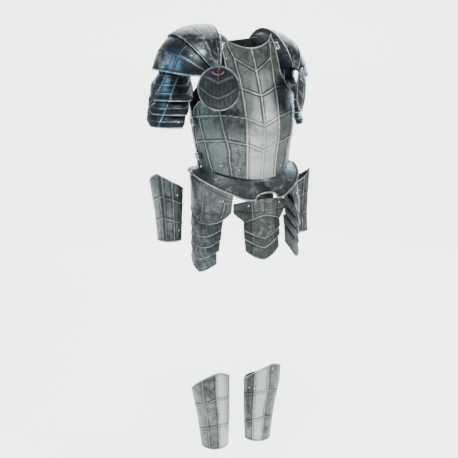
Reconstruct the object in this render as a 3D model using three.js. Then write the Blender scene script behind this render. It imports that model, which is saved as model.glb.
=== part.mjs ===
// A worn suit of plate armour, held in the pose of a standing wearer.
// Millimetres, +Z up. The wearer faces -Y and the wearer's right side is -X.
// The origin lies between the shoulders, at the height of the shoulder straps.
//
// Every plate is a wall bent over a body form. A form is a function of an angle and a
// height. Angles are in degrees, seen from above: 0 is the front, 90 the wearer's left,
// -90 the wearer's right and 180 the back. Left-hand pieces mirror the right-hand ones.

import * as THREE from 'three';

// ---- Driving dimensions ------------------------------------------------------------

const PLATE = 2; // steel plate, with its rolled edges
const LEATHER = 3; // strap leather
const SLIP = 1; // clear space between plates that slide over each other
const RIDGE = 2.5; // height of an embossed ridge

// Sections of the trunk: half width, depth forward and depth backward at each height.
const TRUNK = [
  { z: -520, side: 180, front: 148, back: 122 },
  { z: -450, side: 157, front: 124, back: 112 },
  { z: -370, side: 160, front: 128, back: 114 },
  { z: -286, side: 174, front: 136, back: 128 },
  { z: -197, side: 178, front: 116, back: 134 },
  { z: -124, side: 170, front: 88, back: 126 },
  { z: -53, side: 150, front: 56, back: 104 },
  { z: 0, side: 125, front: 25, back: 78 },
  { z: 40, side: 105, front: 5, back: 55 },
];

// Sections of each forearm: distance of its middle from the mid-plane and from the
// origin's depth, then its half width and half depth.
const FOREARM = [
  { z: -660, out: 247, aft: 39, side: 37, depth: 39 },
  { z: -560, out: 243, aft: 50, side: 43, depth: 45 },
  { z: -420, out: 243, aft: 65, side: 57, depth: 60 },
];

// Sections of each lower leg. The two feet stand apart in depth by STANCE.
const SHIN = [
  { z: -1440, out: 83, aft: 33, side: 46, depth: 48 },
  { z: -1300, out: 89, aft: 34, side: 57, depth: 59 },
  { z: -1200, out: 99, aft: 35, side: 67, depth: 68 },
  { z: -1110, out: 101, aft: 36, side: 69, depth: 70 },
];
const STANCE = 13; // the right shin stands this far back, the left one forward

// The hips, over which the side tassets hang, and the crotch's narrower front form. The
// wearer stands with the hips swayed to the left.
const HIP = { side: 190, depth: 150, sway: 13 };
const LOIN = { side: 125, depth: 90, forward: 51 };

// The shoulder dome: its middle, its reach outward, upward, toward the neck, forward and
// backward, and the distance of its front tip from the mid-plane.
const DOME = { out: 110, aft: 70, z: -95, wide: 158, leftWide: 148, high: 127, inner: 140, fore: 168, rear: 115 };
const DOME_TIP = 136;
const DOME_DROOP = 27; // how far the front tip hangs below the middle
const DOME_FLARE = 12; // how far the dome's lower rim stands out

// Level lines across the breastplate, from hem to neck. Each is a V: its height at the
// middle, its rise to the edge of the centre panel, and its rise from there to the side.
const BREAST_LEVELS = [
  { middle: -440, rise: 4, flank: 36 },
  { middle: -351, rise: 24, flank: 10 },
  { middle: -272, rise: 24, flank: 8 },
  { middle: -183, rise: 23, flank: 2 },
  { middle: -110, rise: 38, flank: 4 },
];
const NECKLINE = { middle: -40, high: 40, reach: 46 }; // the scoop that closes the top
const FLANK_SPAN = 68; // degrees from the centre panel to the side seam

// Reach of the breastplate in degrees, and of its centre panel, against the level lines.
const BREAST_REACH = [
  { z: 0, reach: 88, panel: 19 },
  { z: 2.2, reach: 88, panel: 19.5 },
  { z: 2.5, reach: 76, panel: 19.5 },
  { z: 2.75, reach: 54, panel: 20 },
  { z: 3, reach: 42, panel: 20 },
  { z: 3.5, reach: 35, panel: 21 },
  { z: 4, reach: 38, panel: 25 },
  { z: 5, reach: 46, panel: 33 },
];

// Lower rim of the fauld, the flared skirt under the breastplate.
const FAULD_RIM = [
  { z: 0, height: -497 },
  { z: 20, height: -495 },
  { z: 31, height: -481 },
  { z: 47, height: -461 },
  { z: 69, height: -434 },
  { z: 90, height: -414 },
  { z: 135, height: -418 },
  { z: 180, height: -424 },
];
const FAULD = { side: 197, front: 160, back: 140, waning: 14, tuck: 24, straight: 0.3 };
const ARCH = { half: 13, high: 23 }; // the cut-out at the front of the rim

// Upper-arm lames, from the shoulder down. They hang from the dome's lower rim. Angles
// are the wearer's right-hand ones.
const ARM_LAMES = [
  { top: -103, low: -200, fore: 8, topSide: 61, topDepth: 69, side: 86, depth: 93, out: 187, aft: 84 },
  { top: -184, low: -243, fore: 1, topSide: 75, topDepth: 84, side: 89, depth: 96, out: 191, aft: 87 },
  { top: -227, low: -282, fore: -6, topSide: 80, topDepth: 88, side: 91, depth: 97, out: 194, aft: 88 },
];
const ARM_LAME_BACK = -152;
const ARM_LAME_LAP = 17; // height over which a lame lies under the one above
const ARM_LAME_LIFT = 32; // rise of a lame's edges behind the arm
const ARM_LAME_CORNER = { turn: 11, rise: 42 }; // the rounded lower corner in front

// Side tasset lames: the angle of the middle, the lowest height, the half width in degrees
// at the top and at the bottom, and the rise of the lower edge to its ends.
const SIDE_TASSET = [
  { middle: -72, low: -581, wide: 37, narrow: 33, rise: 42, power: 2.8 },
  { middle: -77, low: -626, wide: 30, narrow: 28, rise: 34, power: 2.2 },
  { middle: -77, low: -662, wide: 28, narrow: 27, rise: 36, power: 2.2 },
  { middle: -79, low: -701, wide: 28, narrow: 27, rise: 38, power: 1.5 },
  { middle: -80, low: -745, wide: 24, narrow: 25, rise: 38, power: 1.5 },
];

// Centre tasset lames, in the same columns.
const CENTRE_TASSET = [
  { middle: 0, low: -553, wide: 50, narrow: 31, rise: -19, power: 1.2 },
  { middle: 0, low: -629, wide: 33, narrow: 33, rise: 32, power: 1.3 },
  { middle: 0, low: -660, wide: 33, narrow: 32, rise: 35, power: 1.3 },
  { middle: 0, low: -699, wide: 32, narrow: 30, rise: 34, power: 1.6 },
];
const CENTRE_TOP = { middle: -499, fall: 14 };
const TASSET_LAP = 17; // height over which a lame lies under the one above

// Roundels that hang in front of the armpits, turned outward by their facing angle.
const ROUNDEL = { out: 152, fore: 122, z: -155, radius: 66, crown: 9, facing: 44 };

// The wearer stands with the left shoulder a little lower than the right one.
const LEVEL = { inward: 0, down: 0 };
const LOW_SHOULDER = { inward: 12, down: 12 };
const NEAR_SHIN = { inward: 7, down: 0 };
const LOW_FOREARM = { inward: 2, down: 30 };

// ---- Materials -----------------------------------------------------------------------

const steel = new THREE.MeshStandardMaterial({ color: 0x8b9492, roughness: 0.42, metalness: 0.9 });
const darkSteel = new THREE.MeshStandardMaterial({ color: 0x59636b, roughness: 0.45, metalness: 0.9 });
const buckleSteel = new THREE.MeshStandardMaterial({ color: 0xa7adad, roughness: 0.35, metalness: 0.95 });
const blackLeather = new THREE.MeshStandardMaterial({ color: 0x17181b, roughness: 0.7, metalness: 0 });
const redLeather = new THREE.MeshStandardMaterial({ color: 0x6d3a31, roughness: 0.75, metalness: 0 });

// ---- Shared geometry -----------------------------------------------------------------

const suit = new THREE.Group();
suit.name = 'plate_armour_suit';

const radians = THREE.MathUtils.degToRad;
const mix = THREE.MathUtils.lerp;
const clamp = THREE.MathUtils.clamp;

// Smooth value of one named column of a table whose rows are sorted by z.
function along(table, column, z) {
  const rows = table[0].z < table[table.length - 1].z ? table : [...table].reverse();
  let i = 0;
  while (i < rows.length - 2 && z > rows[i + 1].z) i += 1;
  const [a, b] = [rows[i], rows[i + 1]];
  const [before, after] = [rows[Math.max(i - 1, 0)], rows[Math.min(i + 2, rows.length - 1)]];
  const span = b.z - a.z;
  const t = clamp((z - a.z) / span, 0, 1);
  const slopeA = ((b[column] - before[column]) / (b.z - before.z)) * span;
  const slopeB = ((after[column] - a[column]) / (after.z - a.z)) * span;
  const t2 = t * t;
  const t3 = t2 * t;
  return (2 * t3 - 3 * t2 + 1) * a[column] + (t3 - 2 * t2 + t) * slopeA
    + (3 * t2 - 2 * t3) * b[column] + (t3 - t2) * slopeB;
}

// Straight-line value of one named column of a table sorted by z.
function between(table, column, z) {
  let i = 0;
  while (i < table.length - 2 && z > table[i + 1].z) i += 1;
  const [a, b] = [table[i], table[i + 1]];
  return mix(a[column], b[column], clamp((z - a.z) / (b.z - a.z), 0, 1));
}

function ellipse(angle, side, fore, rear, out, aft, z) {
  const depth = Math.cos(radians(angle)) > 0 ? fore : rear;
  return new THREE.Vector3(
    out + side * Math.sin(radians(angle)),
    aft - depth * Math.cos(radians(angle)),
    z,
  );
}

function trunk(angle, z) {
  const [side, front, back] = ['side', 'front', 'back'].map((column) => along(TRUNK, column, z));
  return ellipse(angle, side, front, back, 0, 0, z);
}

// The wearer's right forearm or shin, from its table of sections.
function limb(table, angle, z, aftShift = 0) {
  const [side, depth, out, aft] = ['side', 'depth', 'out', 'aft'].map((column) => along(table, column, z));
  return ellipse(angle, side, depth, depth, -out, aft + aftShift, z);
}

// The right shoulder dome. Turn runs from the neck (-90) over the top (0) and the outer
// side (90); sweep runs from the back tip (-90) to the front tip (90), where the slices meet.
function dome(side) {
  const outer = side > 0 ? DOME.wide : DOME.leftWide;
  return (turn, sweep) => {
    const [t, s] = [radians(turn), radians(sweep)];
    const wide = turn > 0 ? outer : DOME.inner;
    const flare = 1 + (DOME_FLARE / DOME.wide) * Math.max(0, (turn - 60) / 35) ** 2;
    const reach = s > 0 ? DOME.fore : DOME.rear;
    const toTip = s > 0 ? Math.sin(s) ** 2 : 0;
    return new THREE.Vector3(
      -mix(DOME.out, DOME_TIP, toTip) - wide * flare * Math.sin(t) * Math.cos(s),
      DOME.aft - reach * Math.sin(s),
      DOME.z + DOME.high * Math.cos(t) * Math.cos(s) - DOME_DROOP * toTip,
    );
  };
}

// Positions from start to end in equal steps, with three lines for each ridge: its crest
// and its two feet. Steps that fall on a ridge are left out.
function ridged(start, end, steps, ridges = [], half = 1, height = RIDGE) {
  const lines = [];
  for (let i = 0; i <= steps; i += 1) {
    const at = mix(start, end, i / steps);
    const inside = i > 0 && i < steps && ridges.some((ridge) => Math.abs(at - ridge) < 1.7 * half);
    if (!inside) lines.push({ at, height: 0 });
  }
  for (const ridge of ridges) {
    lines.push({ at: ridge - half, height: 0 }, { at: ridge, height }, { at: ridge + half, height: 0 });
  }
  return lines.sort((a, b) => a.at - b.at);
}

// Outward direction of a surface at (u, v). Form surfaces turn outward with u and v.
function outward(surface, u, v, du, dv) {
  const along1 = surface(u + du, v).sub(surface(u - du, v));
  const along2 = surface(u, v + dv).sub(surface(u, v - dv));
  return along1.cross(along2).normalize();
}

// A closed wall over a grid of a surface: outer face, inner face and the four edges.
// Its outer face stands `lift` off the surface, plus the relief of its ridges.
function wall(surface, columns, rows, options = {}) {
  const { thickness = PLATE, lift = () => 0, du = 1e-3, dv = 1e-3, relief } = options;
  const [nu, nv] = [columns.length, rows.length];
  const outer = [];
  const inner = [];
  for (const row of rows) {
    for (const column of columns) {
      const point = surface(column.at, row.at);
      const normal = outward(surface, column.at, row.at, du, dv);
      const raised = relief ? relief(column, row) : Math.max(column.height, row.height);
      const height = lift(column.at, row.at) + raised;
      outer.push(point.clone().addScaledVector(normal, height));
      inner.push(point.clone().addScaledVector(normal, height - thickness));
    }
  }
  const positions = [...outer, ...inner].flatMap((p) => [p.x, p.y, p.z]);
  const last = outer.length;
  const index = [];
  const quad = (a, b, c, d) => index.push(a, b, c, a, c, d);
  for (let j = 0; j < nv - 1; j += 1) {
    for (let i = 0; i < nu - 1; i += 1) {
      const [a, b, c, d] = [j * nu + i, j * nu + i + 1, (j + 1) * nu + i + 1, (j + 1) * nu + i];
      quad(a, b, c, d);
      quad(last + d, last + c, last + b, last + a);
    }
  }
  const edge = (a, b) => quad(last + a, last + b, b, a);
  for (let i = 0; i < nu - 1; i += 1) {
    edge(i, i + 1);
    edge((nv - 1) * nu + i + 1, (nv - 1) * nu + i);
  }
  for (let j = 0; j < nv - 1; j += 1) {
    edge((j + 1) * nu, j * nu);
    edge(j * nu + nu - 1, (j + 1) * nu + nu - 1);
  }
  const geometry = new THREE.BufferGeometry();
  geometry.setAttribute('position', new THREE.Float32BufferAttribute(positions, 3));
  geometry.setIndex(index);
  return geometry;
}

// Mirrors a right-hand geometry to the left side and turns its faces outward again.
function mirrored(geometry) {
  const copy = geometry.clone();
  copy.scale(-1, 1, 1);
  const index = copy.getIndex();
  for (let i = 0; i < index.count; i += 3) {
    const first = index.getX(i);
    index.setX(i, index.getX(i + 1));
    index.setX(i + 1, first);
  }
  return copy;
}

function add(name, geometry, material) {
  const mesh = new THREE.Mesh(geometry, material);
  mesh.name = name;
  suit.add(mesh);
  return mesh;
}

// Adds a right-hand piece and its mirror. The shift moves the left one from where a true
// mirror would be, inward and down.
function addPair(name, build, material, shift = LEVEL) {
  add(`${name}_right`, build(1), material);
  add(`${name}_left`, mirrored(build(-1)), material).position.set(-shift.inward, 0, -shift.down);
}

const plain = (start, end, steps) => ridged(start, end, steps);
const under = () => -(PLATE + 2.5 * SLIP); // lift of a plate that lies beneath another
const loose = () => -(PLATE + 4.5 * SLIP); // lift of a strap that passes inside a plate

// ---- Trunk ---------------------------------------------------------------------------

// Height of the breastplate at a level (0 at the hem, 5 at the neck) and an angle.
function breastHeight(level, angle) {
  const turn = Math.abs(angle);
  const line = (row) => row.middle + row.rise * Math.min(turn / 20, 1) ** 1.15
    + row.flank * Math.max(0, (turn - 20) / FLANK_SPAN);
  const neck = NECKLINE.middle + NECKLINE.high * (turn / NECKLINE.reach) ** 1.8;
  const heights = [...BREAST_LEVELS.map(line), neck];
  const i = clamp(Math.floor(level), 0, heights.length - 2);
  return mix(heights[i], heights[i + 1], level - i);
}

const PANEL_SHARE = 0.25; // share of each half's columns that lies on the centre panel

// Angle of a column (-1 at the right edge, 1 at the left) at a level.
function breastAngle(column, level) {
  const reach = between(BREAST_REACH, 'reach', level);
  const panel = between(BREAST_REACH, 'panel', level);
  const share = Math.abs(column);
  const angle = share < PANEL_SHARE
    ? panel * (share / PANEL_SHARE)
    : panel + (reach - panel) * ((share - PANEL_SHARE) / (1 - PANEL_SHARE));
  return Math.sign(column) * angle;
}

function breastplate() {
  const surface = (column, level) => {
    const angle = breastAngle(column, level);
    return trunk(angle, breastHeight(level, angle));
  };
  const [inner, outer] = [0.5, 0.82]; // the flank's two upright ridges
  const columns = ridged(-1, 1, 10, [-outer, -inner, -PANEL_SHARE, 0, PANEL_SHARE, inner, outer], 0.035);
  const rows = ridged(0, 5, 7, [1, 2, 3, 4], 0.09);
  const relief = (column, row) => {
    const onPanel = Math.abs(column.at) < PANEL_SHARE + 0.05;
    const fade = onPanel ? 1 : clamp((2.4 - row.at) / 0.3, 0, 1);
    return Math.max(column.height * fade, row.height * (onPanel ? 1 : fade));
  };
  return wall(surface, columns, rows, { relief });
}
add('breastplate', breastplate(), steel);

const BACK_TOP = -8;
const BACK_HEM = -404;

function backplate() {
  const surface = (column, level) => {
    const angle = 180 + column * (between(BREAST_REACH, 'reach', level) - 1);
    const dip = 12 * (1 - Math.abs(column)) * (level / 5) ** 2;
    return trunk(angle, mix(BACK_HEM, BACK_TOP, level / 5) - dip);
  };
  const rows = [0, 1, 2.2, 2.5, 2.75, 3, 3.5, 4, 5].map((at) => ({ at, height: 0 }));
  return wall(surface, ridged(-1, 1, 10), rows);
}
add('backplate', backplate(), steel);

// Leather over each shoulder, from the breastplate's top corner to the backplate's.
function shoulderStrap() {
  const surface = (across, run) => {
    const turn = mix(40, 29, across);
    const start = trunk(-turn, breastHeight(5, turn));
    const end = trunk(180 + turn, BACK_TOP);
    const point = start.lerp(end, run);
    point.z += 14 * Math.sin(Math.PI * run);
    return point;
  };
  const clear = 0.06; // share of the run left open at each end
  return wall(surface, plain(0, 1, 1), plain(clear, 1 - clear, 6), { thickness: LEATHER });
}
addPair('shoulder_strap', shoulderStrap, blackLeather);

// A frame buckle: an open rectangle with its prong bar, lying on a surface.
function buckle(surface, [u0, u1], [v0, v1], lift, bar, thickness) {
  const point = (u, v, height) => {
    const normal = outward(surface, u, v, 1e-3, 1e-3);
    return surface(u, v).addScaledVector(normal, lift + height);
  };
  const [du, dv] = [(u1 - u0) * bar, (v1 - v0) * bar];
  const outline = [[u0, v0], [u1, v0], [u1, v1], [u0, v1]];
  const opening = [[u0 + du, v0 + dv], [u1 - du, v0 + dv], [u1 - du, v1 - dv], [u0 + du, v1 - dv]];
  const corners = [];
  for (const height of [thickness, 0]) {
    for (const [u, v] of [...outline, ...opening]) corners.push(point(u, v, height));
  }
  const index = [];
  const quad = (a, b, c, d) => index.push(a, b, c, a, c, d);
  for (let i = 0; i < 4; i += 1) {
    const n = (i + 1) % 4;
    quad(i, n, 4 + n, 4 + i);
    quad(8 + n, 8 + i, 12 + i, 12 + n);
    quad(8 + i, 8 + n, n, i);
    quad(4 + i, 4 + n, 12 + n, 12 + i);
  }
  const geometry = new THREE.BufferGeometry();
  geometry.setAttribute('position', new THREE.Float32BufferAttribute(corners.flatMap((p) => p.toArray()), 3));
  geometry.setIndex(index);
  return geometry;
}

function shoulderBuckle() {
  const surface = (angle, z) => trunk(angle, z);
  return buckle(surface, [-50, -40], [-48, -26], RIDGE + SLIP, 0.2, 3);
}
addPair('shoulder_buckle', shoulderBuckle, buckleSteel);

// Side straps across the seam between breastplate and backplate.
const SIDE_STRAP = { half: 10, fore: 82, rear: 100 };
const SIDE_STRAP_HEIGHTS = { upper: -262, lower: -370 };
for (const [place, height] of Object.entries(SIDE_STRAP_HEIGHTS)) {
  const build = () => wall(
    trunk,
    plain(-SIDE_STRAP.rear, -SIDE_STRAP.fore, 4),
    plain(height - SIDE_STRAP.half, height + SIDE_STRAP.half, 1),
    { thickness: LEATHER, lift: () => LEATHER + 2 * SLIP },
  );
  addPair(`side_strap_${place}`, build, blackLeather);
}

// ---- Fauld ---------------------------------------------------------------------------

function fauldRim(angle) {
  const turn = Math.abs(((angle + 180) % 360 + 360) % 360 - 180);
  const arch = turn < ARCH.half ? ARCH.high * Math.sqrt(1 - (turn / ARCH.half) ** 2) : 0;
  return along(FAULD_RIM, 'height', turn) + arch;
}

// A point at the fauld's rim, or an inset inside it, at height 0.
function fauldReach(angle, inset) {
  const narrower = FAULD.waning * clamp((Math.abs(Math.sin(radians(angle / 2))) - Math.SQRT1_2) / 0.2, 0, 1);
  return ellipse(angle, FAULD.side - narrower - inset, FAULD.front - inset, FAULD.back - inset, 0, 0, 0);
}

function fauldSurface(hem) {
  return (angle, rise) => {
    const fall = 1 - rise;
    const height = fall < FAULD.straight
      ? hem(angle) + mix(FAULD.tuck, -3, fall / FAULD.straight)
      : mix(hem(angle) - 3, fauldRim(angle), (fall - FAULD.straight) / (1 - FAULD.straight));
    const flare = Math.max(0, (fall - FAULD.straight) / (1 - FAULD.straight)) ** 1.25;
    const start = trunk(angle, Math.max(height, hem(angle) - 3));
    const rim = fauldReach(angle, 0);
    return new THREE.Vector3(mix(start.x, rim.x, flare), mix(start.y, rim.y, flare), height);
  };
}

const fauldRises = [0, 0.2, 0.45, 1 - FAULD.straight, 1].map((at) => ({ at, height: 0 }));

function fauldFront() {
  const arch = [-13, -11.5, -7, 0, 7, 11.5, 13];
  const sides = [20, 30, 41, 52, 64, 76, 88];
  const columns = [...sides.map((angle) => -angle).reverse(), ...arch, ...sides].map((at) => ({ at, height: 0 }));
  const surface = fauldSurface((angle) => breastHeight(0, angle));
  return wall(surface, columns, fauldRises, { lift: under });
}
add('fauld_front', fauldFront(), darkSteel);

function fauldBack() {
  return wall(fauldSurface(() => BACK_HEM), plain(93, 267, 10), fauldRises, { lift: under });
}
add('fauld_back', fauldBack(), darkSteel);

// ---- Shoulders and upper arms ----------------------------------------------------------

// Turns at which the shoulder plates begin, lap over each other and end.
const DOME_NECK = -10; // column of the neck edge on the right shoulder
const DOME_NECK_LEFT = 5; // on the left one, which hangs farther out
const DOME_SPLIT = 42;
const DOME_RIM = 95;

const domeSweeps = ridged(-70, 76, 8, [34], 4);

function shoulderUpper(side) {
  const ridges = side > 0 ? [0, 19] : [19];
  const neck = side > 0 ? DOME_NECK : DOME_NECK_LEFT;
  return wall(dome(side), ridged(neck, DOME_SPLIT, 3, ridges, 4), domeSweeps);
}

function shoulderLower(side) {
  const start = DOME_SPLIT - 6;
  const relief = (column, row) => Math.max(column.height, row.height * clamp((column.at - start - 6) / 6, 0, 1));
  const columns = ridged(start, DOME_RIM, 4, [66], 5);
  return wall(dome(side), columns, domeSweeps, { lift: under, relief });
}
addPair('pauldron_upper', shoulderUpper, darkSteel, LOW_SHOULDER);
addPair('pauldron_lower', shoulderLower, darkSteel, LOW_SHOULDER);

function armLame(row, first) {
  return () => {
    const surface = (angle, run) => {
      const rise = ARM_LAME_LIFT * clamp((-86 - angle) / 40, 0, 1);
      const front = clamp((angle - row.fore) / ARM_LAME_CORNER.turn + 1, 0, 1);
      const low = row.low + rise + ARM_LAME_CORNER.rise * front ** 2;
      const top = row.top + (first ? 0 : rise);
      const z = mix(low, top, run);
      const foot = row.low + rise + ARM_LAME_LAP;
      const narrowing = clamp((z - foot) / (top - ARM_LAME_LAP - foot), 0, 1);
      const side = mix(row.side, row.topSide, narrowing);
      const depth = mix(row.depth, row.topDepth, narrowing);
      return ellipse(angle, side, depth, depth, -row.out, row.aft, z);
    };
    const angles = [ARM_LAME_BACK, -130, -108, -86, -64, -42, -22, row.fore - 11, row.fore - 5, row.fore];
    const columns = angles.map((at) => ({ at, height: 0 }));
    return wall(surface, columns, [0, 0.3, 0.7, 1].map((at) => ({ at, height: 0 })));
  };
}
ARM_LAMES.forEach((row, i) => {
  addPair(`arm_lame_${i + 1}`, armLame(row, i === 0), darkSteel, LOW_SHOULDER);
});

// The strap inside the lames that closes round the upper arm.
function armStrap() {
  const surface = (angle, z) => ellipse(angle, Math.sin(radians(angle)) > 0 ? 2 : 70, 74, 74, -190, 87, z);
  return wall(surface, plain(-20, 200, 11), plain(-222, -200, 1), { thickness: LEATHER });
}
addPair('arm_strap', armStrap, blackLeather, LOW_SHOULDER);

// ---- Roundels --------------------------------------------------------------------------

function roundelFrame() {
  const facing = radians(-ROUNDEL.facing);
  const normal = new THREE.Vector3(Math.sin(facing), -Math.cos(facing), 0);
  const across = new THREE.Vector3(Math.cos(facing), Math.sin(facing), 0);
  const frame = new THREE.Matrix4().makeBasis(across, new THREE.Vector3(0, 0, 1), normal);
  return frame.setPosition(-ROUNDEL.out, -ROUNDEL.fore, ROUNDEL.z);
}

function roundel() {
  const profile = [];
  const steps = 2;
  const crown = (r) => ROUNDEL.crown * (1 - (r / ROUNDEL.radius) ** 2);
  for (let i = 0; i <= steps; i += 1) {
    const r = (ROUNDEL.radius * i) / steps;
    profile.push(new THREE.Vector2(r, crown(r) - PLATE));
  }
  for (let i = steps; i >= 0; i -= 1) {
    const r = (ROUNDEL.radius * i) / steps;
    profile.push(new THREE.Vector2(r, crown(r)));
  }
  const disc = new THREE.LatheGeometry(profile, 24);
  disc.rotateX(Math.PI / 2);
  disc.applyMatrix4(roundelFrame());
  return disc;
}
addPair('roundel', roundel, darkSteel, LOW_SHOULDER);

// The thong that ties each roundel to the front tip of the shoulder plates.
function roundelThong() {
  const strip = new THREE.BoxGeometry(9, 46, 2);
  strip.translate(0, ROUNDEL.radius - 2, 8);
  strip.applyMatrix4(roundelFrame());
  return strip;
}
addPair('roundel_thong', roundelThong, redLeather, LOW_SHOULDER);

// ---- Forearms --------------------------------------------------------------------------

const BRACER = { middle: -75, half: 122, crest: -57, peak: -420, fall: 62, low: -642 };

function bracer() {
  const surface = (angle, run) => {
    const top = BRACER.peak - BRACER.fall * (Math.abs(angle - BRACER.crest) / BRACER.half);
    return limb(FOREARM, angle, mix(BRACER.low, top, run));
  };
  const [start, end] = [BRACER.middle - BRACER.half, BRACER.middle + BRACER.half];
  const columns = ridged(start, end, 6, [-110, -48, -6], 6);
  return wall(surface, columns, ridged(0, 1, 1, [0.34, 0.66], 0.035));
}
addPair('bracer', bracer, steel, LOW_FOREARM);

const BRACER_STRAPS = { upper: -505, lower: -615 };
for (const [place, height] of Object.entries(BRACER_STRAPS)) {
  const build = () => wall(
    (angle, z) => limb(FOREARM, angle, z),
    plain(30, 180, 6),
    plain(height - 9, height + 9, 1),
    { thickness: LEATHER, lift: loose },
  );
  addPair(`bracer_strap_${place}`, build, blackLeather, LOW_FOREARM);
}

// ---- Tassets ---------------------------------------------------------------------------

// The side tassets' tops turn in under the fauld: this far below its rim and inside it,
// over these heights.
const RIM_GAP = 8;
const RIM_INSET = 10;
const RIM_TURN = { low: -536, high: -447 };

// The hips at an angle and height, where the side tassets and their hangers lie.
function hips(side, angle, z, inset = 0) {
  const turn = clamp((z - RIM_TURN.low) / (RIM_TURN.high - RIM_TURN.low), 0, 1);
  const under = fauldReach(angle, RIM_INSET + inset).setZ(z);
  return ellipse(angle, HIP.side, HIP.depth, HIP.depth, side * HIP.sway, 0, z).lerp(under, turn);
}

// Each lame leans out from under the one above it: its upper part lies deeper.
const TUCK = PLATE + 3 * SLIP;
const shingle = (first) => (column, run) => (first ? 0 : -TUCK * clamp((run - 0.15) / 0.6, 0, 1));
const lameRuns = [0, 0.4, 0.75, 1].map((at) => ({ at, height: 0 }));
const lameRelief = (first) => (column, row) => column.height * (first ? 1 : clamp(1 - row.at / 0.75, 0, 1));

// Height of a lame's lower edge at an angle.
function lowEdge(row, angle) {
  const away = Math.min(Math.abs(angle - row.middle) / row.narrow, 1);
  return row.low + row.rise * away ** row.power;
}

function sideTasset(row, above) {
  return (side) => {
    const surface = (share, run) => {
      const angle = row.middle + share * mix(row.narrow, row.wide, run);
      const low = row.low + row.rise * Math.abs(share) ** row.power;
      const top = above ? lowEdge(above, angle) + TASSET_LAP : fauldRim(angle) - RIM_GAP;
      return hips(side, angle, mix(low, top, run));
    };
    const columns = ridged(-1, 1, above ? 4 : 6, [0], 0.1);
    return wall(surface, columns, lameRuns, { lift: shingle(!above), relief: lameRelief(!above) });
  };
}
SIDE_TASSET.forEach((row, i) => addPair(`side_tasset_${i + 1}`, sideTasset(row, SIDE_TASSET[i - 1]), steel));

function centreTasset(row, above) {
  const surface = (share, run) => {
    const taper = above ? run : Math.min(run / 0.5, 1);
    const angle = share * mix(row.narrow, row.wide, taper);
    const low = row.low + row.rise * Math.abs(share) ** row.power;
    const top = above ? lowEdge(above, angle) + TASSET_LAP : CENTRE_TOP.middle - CENTRE_TOP.fall * share ** 2;
    return ellipse(angle, LOIN.side, LOIN.depth, LOIN.depth, 0, -LOIN.forward, mix(low, top, run));
  };
  const edge = above ? 0.6 : 0.42; // share of the half width at which the side panels begin
  const columns = ridged(-1, 1, above ? 4 : 8, [-edge, 0, edge], 0.1);
  return wall(surface, columns, lameRuns, { lift: shingle(!above), relief: lameRelief(!above) });
}
CENTRE_TASSET.forEach((row, i) => add(`centre_tasset_${i + 1}`, centreTasset(row, CENTRE_TASSET[i - 1]), steel));

// Leather hangers behind the tassets, from inside the fauld to the top lame.
function sideHanger(side) {
  const surface = (angle, z) => hips(side, angle, z, 36 * clamp((z + 450) / 38, 0, 1));
  return wall(surface, plain(-87, -67, 2), plain(-520, -412, 5), {
    thickness: LEATHER,
    lift: () => -(TUCK + SLIP),
  });
}
addPair('side_hanger', sideHanger, blackLeather);

function centreHanger() {
  const surface = (angle, z) => {
    const depth = LOIN.depth - 22 * clamp((z + 492) / 46, 0, 1);
    return ellipse(angle, LOIN.side, depth, depth, 0, -LOIN.forward, z);
  };
  return wall(surface, plain(-19, 19, 2), plain(-530, -430, 4), {
    thickness: LEATHER,
    lift: () => -(TUCK + SLIP),
  });
}
add('centre_hanger', centreHanger(), blackLeather);

// ---- Lower legs ------------------------------------------------------------------------

const GREAVE = { middle: -5, half: 100, crest: -3, peak: -1120, fall: 78, low: -1426 };

function greave(side) {
  const surface = (angle, run) => {
    const away = Math.abs(angle - GREAVE.crest) / GREAVE.half;
    const top = GREAVE.peak - GREAVE.fall * away ** 1.5;
    return limb(SHIN, angle, mix(GREAVE.low, top, run), side * STANCE);
  };
  const [start, end] = [GREAVE.middle - GREAVE.half, GREAVE.middle + GREAVE.half];
  const columns = ridged(start, end, 5, [-50, side > 0 ? -10 : 8, 50], 6);
  return wall(surface, columns, ridged(0, 1, 1, [0.33, 0.68], 0.03));
}
addPair('greave', greave, steel, NEAR_SHIN);

const GREAVE_STRAPS = { upper: -1215, lower: -1375 };
for (const [place, height] of Object.entries(GREAVE_STRAPS)) {
  const build = (side) => wall(
    (angle, z) => limb(SHIN, angle, z, side * STANCE),
    plain(60, 276, 7),
    plain(height - 10, height + 10, 1),
    { thickness: LEATHER, lift: loose },
  );
  addPair(`greave_strap_${place}`, build, blackLeather, NEAR_SHIN);
}

export default suit;
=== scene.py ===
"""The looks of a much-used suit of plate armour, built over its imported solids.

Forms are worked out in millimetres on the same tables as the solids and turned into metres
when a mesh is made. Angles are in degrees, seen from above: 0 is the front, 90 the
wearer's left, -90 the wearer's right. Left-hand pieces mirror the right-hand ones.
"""

import math

import bpy
import numpy as np
from mathutils import Euler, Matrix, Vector


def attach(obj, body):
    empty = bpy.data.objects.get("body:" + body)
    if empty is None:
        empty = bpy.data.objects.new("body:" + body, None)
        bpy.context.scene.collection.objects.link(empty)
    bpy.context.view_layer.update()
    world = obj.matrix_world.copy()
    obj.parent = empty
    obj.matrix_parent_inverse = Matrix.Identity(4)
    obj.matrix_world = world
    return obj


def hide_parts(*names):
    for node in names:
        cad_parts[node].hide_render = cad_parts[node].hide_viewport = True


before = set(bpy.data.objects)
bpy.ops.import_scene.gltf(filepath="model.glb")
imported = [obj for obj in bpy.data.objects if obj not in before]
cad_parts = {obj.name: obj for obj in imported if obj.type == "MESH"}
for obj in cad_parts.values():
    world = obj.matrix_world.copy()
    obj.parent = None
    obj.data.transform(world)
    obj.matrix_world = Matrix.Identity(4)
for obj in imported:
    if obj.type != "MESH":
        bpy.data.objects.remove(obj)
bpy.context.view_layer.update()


def table(columns, *rows):
    """Rows with named columns."""
    return [dict(zip(columns.split(), row)) for row in rows]


# ---- Forms of the body, the same as those of the solids ----

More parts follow.
